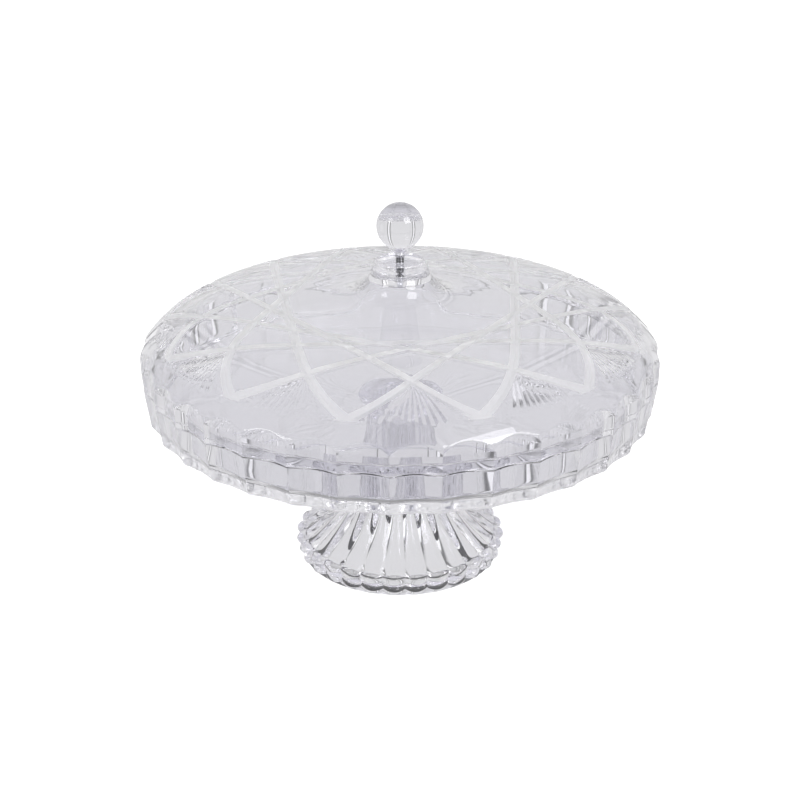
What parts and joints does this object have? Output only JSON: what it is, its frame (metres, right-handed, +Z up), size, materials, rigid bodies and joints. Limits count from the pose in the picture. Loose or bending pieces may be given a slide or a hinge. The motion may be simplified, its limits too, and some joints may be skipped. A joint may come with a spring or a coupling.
{
  "type": "cake stand dome",
  "caption": "Clear pressed-glass pedestal cake stand with a fluted plate, a trumpet foot and a shallow domed lid that lifts off by a ball knob.",
  "frame": {"origin": "centre of the foot's underside, on the surface that the stand rests on", "axes": "+Z up along the axis of the stand, from the foot through the knob"},
  "size_m": [0.2988, 0.2988, 0.2189],
  "materials": {
    "clear_glass": "polished, clear with a faint lavender-grey cast",
    "clear_gasket": "soft translucent plastic",
    "chrome": "polished",
    "steel": "plain machined"
  },
  "bodies": {
    "base": {"plate": "clear_glass", "pedestal_foot": "clear_glass", "foot_gasket": "clear_gasket", "foot_washer": "steel", "foot_screw": "steel", "plate_insert": "steel"},
    "lid": {"lid_shell": "clear_glass", "lid_washer": "clear_gasket", "knob_gasket": "clear_gasket", "knob_disc": "clear_glass", "knob_ferrule": "chrome", "knob_ball": "clear_glass", "knob_insert": "steel", "knob_screw": "steel"}
  },
  "joints": [
    {"name": "lid_lift", "type": "slide", "parent": "base", "child": "lid", "axis": [0, 0, 1], "range_m": [0, 0.15]}
  ]
}
